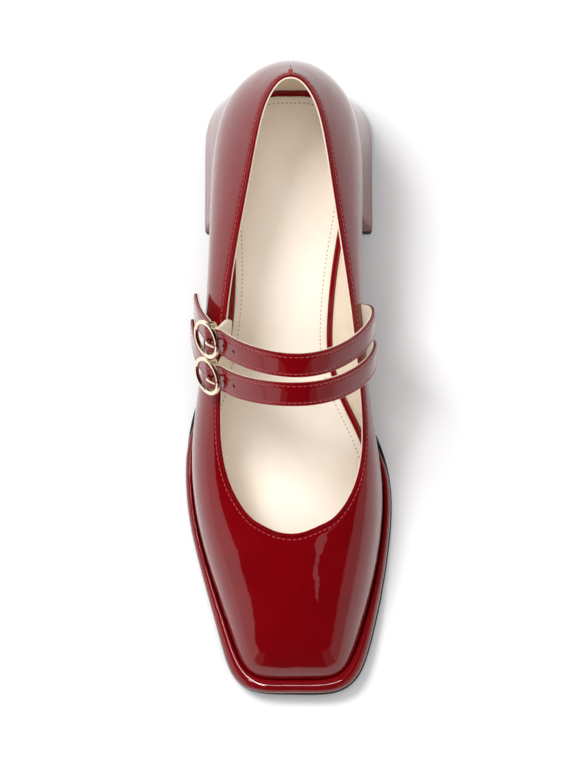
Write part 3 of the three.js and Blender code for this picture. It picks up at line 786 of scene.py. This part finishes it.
def build_rand():
    """The rounded patent strip round the forefoot, with a groove left to the upper."""
    start = turn_at_station(FOOT_S, RAND["inner"], "inner")
    end = turn_at_station(FOOT_S, RAND["outer"], "outer")
    turns = np.linspace(start, end, 520)
    foot = skin(turns, np.zeros(520))
    out = plan_outward(turns)
    nearest = np.minimum(turns - start, end - turns)
    full = 0.35 + 0.65 * smooth(nearest, 0, RAND["taper"])
    width = (sole_margin(-foot[:, 1]) - GAP) * full
    section = curve(
        [[0, 0], [0, 0.5], [0.02, 0.8], [0.08, 0.95], [0.2, 1.0], [0.4, 0.98], [0.64, 0.87],
         [0.85, 0.65], [0.97, 0.38], [1.0, 0.15], [0.98, 0.0]], 30)
    rings = []
    for across, up in section:
        height = RAND["height"] * full * max(up, 0)
        rises = rise_at_height(turns, height)
        place = wall_point(turns, rises, np.full(520, -GAP))
        place = place + out * (width * across)[:, None]
        place[:, 2] = sole_at(-place[:, 1])[1] + 0.05 + height
        rings.append(place)
    rings = np.array(rings).transpose(1, 0, 2)
    piece("rand_patent", domed(rings), PATENT, ["rand"], sharp=75)


def breast_hollow(share):
    """How far the heel's front face is hollowed, from its outer edge at 0 to its inner at 1."""
    return HEEL_HOLLOW * np.sin(np.pi * np.clip((share - 0.06) / 0.88, 0, 1)) ** 1.4


def heel_outline(level):
    """The heel block's plan at a level from 0 at the floor to 1 at the seat."""
    front, back, outer, inner, square, straight = HEEL_FLOOR + (HEEL_SEAT - HEEL_FLOOR) * level
    share = np.linspace(0, 1, 80, endpoint=False)
    breast = np.stack([outer + (inner - outer) * share, front - breast_hollow(share)], 1)
    angle = np.linspace(0, np.pi, 240)
    cos, sin = np.cos(angle), np.sin(angle)
    bend = 2 / square
    x = (outer + inner) / 2 + (inner - outer) / 2 * np.sign(cos) * np.abs(cos) ** bend
    s = straight + (back - straight) * np.abs(sin) ** bend
    outline = np.vstack([breast, [[inner, front]], np.stack([x, s], 1)])
    outline[:, 1] *= -1
    return softened(resampled(outline, 420), 8)


def heel_body(steps):
    """A closed body through steps: level, inset and height, which is a number or one per point."""
    rings = []
    for level, inset, height in steps:
        outline = heel_outline(level)
        outline = outline - plan_normals(outline) * inset
        z = height(-outline[:, 1]) if callable(height) else np.full(len(outline), float(height))
        rings.append(np.column_stack([outline, z]))
    return domed(np.array(rings))


def build_heel():
    low = LIFT + LIFT_SEAM

    def at(level, drop=0.0):
        return lambda s: low + (sole_at(s)[1] - low) * level - drop

    steps = [(0, 0.5, low), (0, 0.18, low + 0.08), (0, 0.02, low + 0.3), (0.02, 0, low + 0.8)]
    steps += [(level, 0, at(level)) for level in np.linspace(0.06, 0.94, 14)]
    steps += [(0.97, 0.0, at(1, 1.25)), (0.99, 0.05, at(1, 0.85)), (1, 0.35, at(1, 0.35))]
    steps += [(1, 0.8, at(1, 0.05))]
    piece("heel_cover", heel_body(steps), PATENT, ["heel_block"], sharp=60)
    steps = [(0, 0.6, 0), (0, 0.2, 0.05), (0, 0.03, 0.3), (0, 0, 0.8)]
    steps += [(0, 0, LIFT - 0.5), (0, 0.06, LIFT - 0.15), (0, 0.3, LIFT)]
    piece("heel_lift", heel_body(steps), RUBBER, ["top_lift"], sharp=60)


# ---- straps and buckles ----

FLAT = 4.45  # half the width of a strap's face between its rounded edges
ROUND = 0.55  # radius of those edges
EDGE_STITCH = {"at": 3.62, "pitch": 2.0, "length": 1.35, "radius": 0.17}
HOLE_RADIUS = {"used": 1.25, "spare": 0.72}
CORNER = 0.9  # radius of the corners of a strap's free end
PLATE = 4.2  # half the width of a holding tab
TAB_GAP = 1.3  # half the room that the tab leaves for the prong
TAB_RADIUS = 1.9  # of the tab's loops round the bar


class Strap:
    """A strap's middle line with its directions: along it, across it and out."""

    def __init__(self, name):
        rows = STRAPS[name] * [1, -1, 1]
        self.rows = np.vstack([2 * rows[0] - rows[1], rows, 2 * rows[-1] - rows[-2]])
        self.last = len(rows) - 1
        self.sink = ROOT_SINK[name]

    def middle(self, place):
        return spline(self.rows, np.asarray(place, float) + 1)

    def at(self, place):
        place = np.atleast_1d(np.asarray(place, float))
        along = unit(self.middle(np.minimum(place + 0.01, self.last)) - self.middle(place - 0.01))
        across = np.tile([0.0, -np.cos(STRAP["lean"]), -np.sin(STRAP["lean"])], (len(place), 1))
        across = unit(across - along * (across * along).sum(1, keepdims=True))
        return self.middle(place), along, across, np.cross(along, across)

    def dome(self, points):
        buckle = self.middle(BUCKLE_ROW)
        distance = np.minimum(1, np.linalg.norm(points - buckle, axis=1) / DOME["reach"])
        return DOME["rise"] * np.cos(np.pi / 2 * distance) ** 2

    def surface(self, place, w, n):
        """Points at places, w across and n out of the strap's middle, on the dome at the buckle."""
        centre, _, across, out = self.at(place)
        lift = self.dome(centre) + n - self.sink * smooth(-np.asarray(place, float), 0, 0.7)
        return centre + across * np.asarray(w)[..., None] + out * lift[:, None], out

    def even(self, start, end, pitch):
        fine = np.linspace(start, end, 3000)
        centre, _, _, out = self.at(fine)
        centre = centre + out * self.dome(centre)[:, None]
        lengths = run_of(centre)
        count = int(round(lengths[-1] / pitch))
        return np.interp(np.linspace(0, lengths[-1], count + 1), lengths, fine)

    def place_at(self, distance):
        """The place that lies a distance from the buckle, towards the free end if more than 0."""
        fine = np.linspace(0, self.last, 6000)
        points = self.middle(fine)
        lengths = run_of(points)
        return np.interp(np.interp(BUCKLE_ROW, fine, lengths) + distance, lengths, fine)

    def tail_length(self):
        """From the buckle to the free end."""
        fine = np.linspace(BUCKLE_ROW, self.last, 3000)
        return np.linalg.norm(np.diff(self.middle(fine), axis=0), axis=1).sum()

    def buckle_points(self, local):
        """Points of the buckle's own tilted frame: x along the strap, y across it, z out."""
        centre, along, across, out = [v[0] for v in self.at(BUCKLE_ROW)]
        cos, sin = np.cos(RING["tilt"]), np.sin(RING["tilt"])
        along, out = along * cos + out * sin, out * cos - along * sin
        centre = centre + out * RING["lift"]
        local = np.asarray(local, float)
        return centre + local[..., :1] * along + local[..., 1:2] * across + local[..., 2:] * out


def strap_section():
    """The patent face of a strap with its folded edges, as across and out."""
    half = STRAP["width"] / 2
    w = np.linspace(-FLAT, FLAT, 45)
    top = 0.93 + 0.1 * (1 - (w / half) ** 2) - 0.16 * bump(np.abs(w), EDGE_STITCH["at"], 0.32)
    angles = np.linspace(0, np.pi / 2, 6)[1:]
    right = np.stack([FLAT + ROUND * np.sin(angles), 0.4 + ROUND * np.cos(angles)], 1)
    left = right[::-1] * [-1, 1]
    under = np.array([[4.97, -0.25], [4.8, -0.38], [0, -0.38], [-4.8, -0.38], [-4.97, -0.25]])
    return np.vstack([left, np.stack([w, top], 1), right, under])


def lining_section():
    """The cream backing of a strap, as across and out."""
    return np.array([
        [-4.9, -0.42], [-4.98, -0.6], [-4.85, -0.88], [-4.5, -0.95], [0, -0.97], [4.5, -0.95],
        [4.85, -0.88], [4.98, -0.6], [4.9, -0.42], [0, -0.42],
    ])


def strap_rings(strap, places, section):
    """A section carried along a strap, its free end squared with small round corners."""
    end = strap.middle(strap.last)
    rings = []
    away = np.linalg.norm(strap.middle(places) - end, axis=1)
    corner = 1 - np.sqrt(np.clip(1 - (1 - np.clip(away / CORNER, 0, 1)) ** 2, 0, 1))
    for w, n in section:
        inset = np.sign(w) * np.minimum(abs(w), CORNER * corner * (abs(w) > 2.5))
        fold = np.where(away < 0.5, 0.25 * (1 - away / 0.5) ** 2, 0) * np.sign(n)
        rings.append(strap.surface(places, w - inset, n - fold)[0])
    return np.array(rings).transpose(1, 0, 2)


def cut(target, cutters):
    """Cuts closed bodies out of a piece."""
    points, faces = joined(cutters)
    mesh = bpy.data.meshes.new("cutter")
    mesh.from_pydata(((points + ORIGIN) / 1000).tolist(), [], outward(points, faces))
    tool = bpy.data.objects.new("cutter", mesh)
    bpy.context.scene.collection.objects.link(tool)
    modifier = target.modifiers.new("holes", "BOOLEAN")
    modifier.operation = "DIFFERENCE"
    modifier.solver = "EXACT"
    modifier.object = tool
    graph = bpy.context.evaluated_depsgraph_get()
    made = bpy.data.meshes.new_from_object(target.evaluated_get(graph))
    target.modifiers.remove(modifier)
    target.data = made
    bpy.data.objects.remove(tool)
    made.shade_smooth()
    made.set_sharp_from_angle(angle=np.radians(50))


def build_strap(name):
    strap = Strap(name)
    places = strap.even(-0.75, strap.last, 0.42)
    tail_length = strap.tail_length()
    tail = np.array([strap.place_at(tail_length - e) for e in (0.6, 0.35, 0.15, 0.05, 0)])
    places = np.unique(np.concatenate([places[places < tail[0]], tail]))
    face = piece(f"strap_{name}_patent", capped(strap_rings(strap, places, strap_section())),
                 PATENT, [f"strap_{name}"])
    back = piece(f"strap_{name}_lining", capped(strap_rings(strap, places, lining_section())),
                 LINING)
    cutters = []
    for k in (-1, 0, 1, 2):
        centre, out = strap.surface([strap.place_at(-HOLES["at"] - HOLES["pitch"] * k)], 0.0, 0.0)
        radius = HOLE_RADIUS["used" if k == 0 else "spare"]
        line = centre[0] + out[0] * np.linspace(-2.5, 2.5, 2)[:, None]
        cutters.append(tube(line, radius, sides=24))
    cut(face, cutters)
    cut(back, cutters)
    bodies = []
    for w in (-EDGE_STITCH["at"], EDGE_STITCH["at"]):
        along = strap.even(0.4, strap.place_at(tail_length - 2.0), EDGE_STITCH["pitch"])
        points, outs = strap.surface(along, np.full(len(along), w), 0.86)
        clear = np.linalg.norm(strap.middle(along) - strap.middle(BUCKLE_ROW), axis=1) > 0.2
        bodies.append(stitch_row(points[clear], outs[clear], EDGE_STITCH, 0.02))
    across = np.linspace(-3.4, 3.4, 4)
    place = np.full(len(across), strap.place_at(tail_length - 1.7))
    points, outs = strap.surface(place, across, 0.9)
    bodies.append(stitch_row(points, outs, {**EDGE_STITCH, "length": 1.4}, 0.0))
    piece(f"strap_{name}_stitches", joined(bodies), RED_THREAD)


def build_buckle(name):
    """An oval wire ring with a bar across it, set in under the strap, and its prong."""
    strap = Strap(name)
    around = circle(128)[:, None]
    section = circle(20)[None, :]
    wire = RING["wire"]
    out = wire * np.cos(section)
    long, short = RING["long"] - wire, RING["short"] - wire
    local = np.stack([
        (long + out) * np.cos(around), (short + out) * np.sin(around),
        np.broadcast_to(wire * np.sin(section), (around.size, section.size)),
    ], -1)
    ring = grid(strap.buckle_points(local), wrap_rows=True, wrap_columns=True)
    ring = (ring[0], outward(*ring))
    side = [
        [short, 0], [BAR["shoulder"], -BAR["shoulder_drop"]],
        [BAR["reach"], -BAR["drop"]], [BAR["reach"] / 2, -BAR["drop"]],
    ]
    path = [[0, -a, o] for a, o in side] + [[0, a, o] for a, o in side[::-1]]
    rod = tube(curve(strap.buckle_points(path), 60), BAR["radius"], 14)
    rod = (rod[0], outward(*rod))
    piece(f"buckle_{name}_ring", joined([ring, rod]), GOLD, [f"buckle_{name}"])
    clear = BAR["radius"] + PRONG_RADIUS + GAP
    rest = wire + PRONG_RADIUS + 0.05
    hook = [[clear, 0.3], [clear * 0.7, -clear * 0.75], [-clear * 0.2, -clear], [-clear, -0.2]]
    path = [[a, 0, u - BAR["drop"]] for a, u in hook]
    path += [
        [-1.9, 0, -1.2], [-2.2, 0, rest * 0.7],
        [-4.4, 0, rest + 0.5], [0.2 - RING["long"], 0, rest + 0.1],
    ]
    points = curve(strap.buckle_points(path), 70)
    radius = PRONG_RADIUS * (1 - 0.35 * smooth(np.arange(len(points)), 50, len(points) - 1))
    piece(f"buckle_{name}_prong", tube(points, radius, 14), GOLD, [f"prong_{name}"])


def build_tab(name):
    """The cream tab that holds the buckle's bar: two loops round it and a tail into the collar."""
    strap = Strap(name)
    turn = turn_at_station(TOP_S, TAB_STATION[name], "outer")

    def inside(rise, extra):
        return wall_point(np.array([turn]), np.array([rise]), np.array([WALL + 0.95 + extra]))[0]

    bar = strap.buckle_points([0, 0, -BAR["drop"]])
    over = wall_point(np.array([turn]), np.array([1.0]), np.array([WALL]))[0] + [0.2, 0, 3.25]
    tail = [inside(0.97, 1.8), inside(0.88, 1.4), inside(0.78, 0.8)]
    path = curve([bar + [0.9, -0.4, -1.1], over, *tail], 60)
    bar_across = strap.at(BUCKLE_ROW)[2][0]
    before, after = skin(np.array([turn - 0.01, turn + 0.01]), np.ones(2))
    edge_across = unit(before - after)
    turned = smooth(np.linspace(0, 1, len(path)), 0.15, 0.6)[:, None]
    across = unit(bar_across * (1 - turned) + edge_across * turned)
    out = unit(np.cross(unit(np.gradient(path, axis=0)), across))
    upper_half = np.array([
        [-PLATE, 0.35], [-4.1, 0.62], [-3.8, 0.74], [0, 0.75], [3.8, 0.74], [4.1, 0.62], [PLATE, 0.35],
    ])
    w, n = np.vstack([upper_half, -upper_half]).T
    rings = path[:, None] + across[:, None] * w[:, None] + out[:, None] * n[:, None]
    bodies = [capped(rings)]
    angles = circle(28)
    for low, high in ((-PLATE, -TAB_GAP), (TAB_GAP, PLATE)):
        rings = []
        steps = ((low, TAB_RADIUS - 0.2), (low + 0.15, TAB_RADIUS))
        for y, r in (*steps, (high - 0.15, TAB_RADIUS), (high, TAB_RADIUS - 0.2)):
            local = np.stack([r * np.cos(angles), np.full(28, y), r * np.sin(angles) - BAR["drop"]], -1)
            rings.append(strap.buckle_points(local))
        bodies.append(capped(np.array(rings)))
    bodies = [(p, outward(p, f)) for p, f in bodies]
    piece(f"tab_{name}", joined(bodies), LINING, [f"buckle_tab_{name}"])


# ---- the shoe ----

build_upper()
build_lining()
build_upper_stitches()
build_insole()
build_piping()
build_outsole()
build_rand()
build_heel()
for strap_name in STRAPS:
    build_strap(strap_name)
    build_buckle(strap_name)
    build_tab(strap_name)


# ---- studio ----


def matt_grey(name, roughness, scale, low, high):
    """A matt card's grey, clouded between two levels."""
    n = Nodes(name, {"Roughness": roughness, "Specular IOR Level": 0.0})
    n.colour(n.noise(scale, 1), [(0.3, (low, low, low)), (0.7, (high, high, high))])
    return n.material


def card(name, centre, size, facing, material):
    """A flat studio card."""
    w, h = size[0] / 2, size[1] / 2
    mesh = bpy.data.meshes.new(name)
    mesh.from_pydata([(-w, -h, 0), (w, -h, 0), (w, h, 0), (-w, h, 0)], [], [(0, 1, 2, 3)])
    mesh.materials.append(material)
    made = bpy.data.objects.new(name, mesh)
    made.location = centre
    made.rotation_mode = "QUATERNION"
    made.rotation_quaternion = Vector(facing).to_track_quat("Z", "Y")
    bpy.context.scene.collection.objects.link(made)
    return made


def light(name, centre, size, watts, in_gloss=True):
    """A soft area light that faces the shoe."""
    data = bpy.data.lights.new(name, "AREA")
    data.shape = "RECTANGLE"
    data.size, data.size_y = size
    data.energy = watts
    made = bpy.data.objects.new(name, data)
    made.location = centre
    made.rotation_mode = "QUATERNION"
    made.rotation_quaternion = Vector(centre).to_track_quat("Z", "Y")
    made.visible_glossy = in_gloss
    made.visible_camera = False
    bpy.context.scene.collection.objects.link(made)
    return made


floor_grey = matt_grey("studio_floor", 0.9, 3, 0.93, 0.94)
card("studio_floor", (0, 0, -0.0002), (8, 8), (0, 0, 1), floor_grey)
for name, centre, size, facing in (
    ("dark_card_above", (0, 0, 1.25), (5.6, 5.6), (0, 0, -1)),
    ("dark_card_front", (0, -1.6, 0.62), (1.3, 1.2), (0, 1, 0)),
):
    dark = card(name, centre, size, facing, matt_grey("dark_card", 1.0, 2, 0.004, 0.006))
    dark.visible_camera = False
    dark.visible_diffuse = False
    dark.visible_shadow = False
    dark.visible_transmission = False

world = bpy.data.worlds.new("studio")
bpy.context.scene.world = world
world.use_nodes = True
background = world.node_tree.nodes["Background"]
background.inputs["Color"].default_value = (1, 1, 1, 1)
background.inputs["Strength"].default_value = 0.2

light("key", (-0.45, 0.28, 1.2), (0.42, 0.42), 12, in_gloss=False)
light("fill", (0.1, -0.25, 1.4), (1.0, 1.0), 9.5, in_gloss=False)
light("left_softbox", (-1.6, -0.3, 0.37), (3.0, 0.74), 5.8)
light("right_softbox", (1.6, -0.3, 0.37), (3.0, 0.74), 2.0)
strips = [
    light("right_strip", (0.66, -0.1, 1.0), (1.1, 0.07), 0.2),
    light("back_strip", (0.0, 1.5, 0.8), (0.5, 0.08), 1.2),
]
rim_strips = [
    light("left_rim_strip", (-0.45, -0.1, 1.1), (2.0, 0.04), 15),
    light("front_rim_strip", (0.0, -0.7, 1.0), (1.2, 0.04), 6),
]
rand_only = bpy.data.collections.new("rand_only")
rand_only.objects.link(bpy.data.objects["rand_patent"])
for strip in rim_strips:
    strip.light_linking.receiver_collection = rand_only
for strip in strips + rim_strips:
    strip.visible_diffuse = False

camera_data = bpy.data.cameras.new("camera")
camera = bpy.data.objects.new("camera", camera_data)
bpy.context.scene.collection.objects.link(camera)
bpy.context.scene.camera = camera
ELEVATION = np.radians(79.5)
DISTANCE = 1.27
TARGET = Vector((0.0, -0.004, 0.03))
away = Vector((0.0, -float(np.cos(ELEVATION)), float(np.sin(ELEVATION))))
camera.location = TARGET + away * DISTANCE
camera.rotation_mode = "QUATERNION"
camera.rotation_quaternion = away.to_track_quat("Z", "Y")
camera_data.sensor_width = 36
camera_data.lens = 148
camera_data.clip_start, camera_data.clip_end = 0.05, 20
bpy.context.scene.view_settings.view_transform = "Standard"

bpy.context.view_layer.update()
